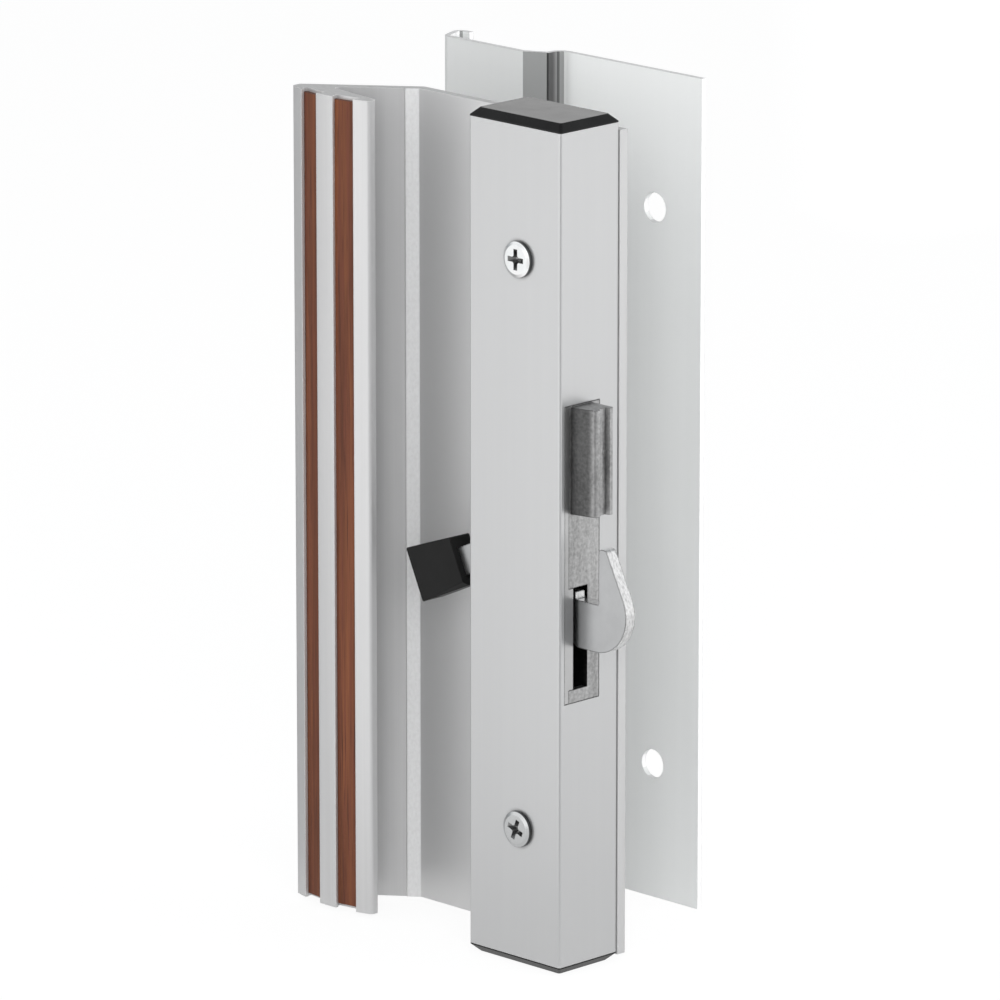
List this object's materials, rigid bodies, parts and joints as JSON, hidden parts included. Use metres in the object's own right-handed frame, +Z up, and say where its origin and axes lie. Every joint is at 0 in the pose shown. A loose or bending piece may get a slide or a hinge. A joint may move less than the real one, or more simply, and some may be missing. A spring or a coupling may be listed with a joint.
{
  "type": "latch handle",
  "caption": "Surface hook latch handle for a sliding patio door: slanted inside pull with wood-grain strips, tube housing with swinging hook and thumb lever, outside pull.",
  "frame": {"origin": "door face of the inside pull, midway between the mounting screws", "axes": "+Y through the door, away from the room; +Z up; +X towards the jamb that the hook catches"},
  "size_m": [0.1105, 0.0636, 0.2008],
  "materials": {
    "pull_aluminium": "satin clear anodised",
    "wood_grain": "satin printed wood grain",
    "tube_aluminium": "satin clear anodised",
    "black_cap": "gloss",
    "screw_steel": "zinc plated",
    "inner_steel": "zinc plated",
    "zinc_casting": "zinc casting, as cast and speckled",
    "cover_steel": "zinc plated",
    "hook_steel": "zinc plated, satin, bright edges",
    "black_knob": "satin",
    "outer_aluminium": "satin clear anodised"
  },
  "bodies": {
    "handle": {"inner_pull": "pull_aluminium", "left_wood_strip": "wood_grain", "right_wood_strip": "wood_grain", "housing_tube": "tube_aluminium", "top_cap": "black_cap", "bottom_cap": "black_cap", "upper_mounting_screw": "screw_steel", "lower_mounting_screw": "screw_steel", "upper_screw_sleeve": "inner_steel", "lower_screw_sleeve": "inner_steel", "upper_case_rivet": "inner_steel", "lower_case_rivet": "inner_steel", "upper_case_screw": "inner_steel", "lower_case_screw": "inner_steel", "pivot_pin": "inner_steel", "pivot_clip": "inner_steel", "friction_washer": "inner_steel", "stop_pin": "inner_steel", "latch_case": "zinc_casting", "case_cover": "cover_steel", "outer_pull": "outer_aluminium"},
    "hook": {"hook_lever": "hook_steel", "lever_knob": "black_knob"}
  },
  "joints": [
    {"name": "hook_pivot", "type": "hinge", "parent": "handle", "child": "hook", "pos_m": [-0.0012, -0.0147, 0.0014], "axis": [0, 1, 0], "range_deg": [0, 58]}
  ]
}
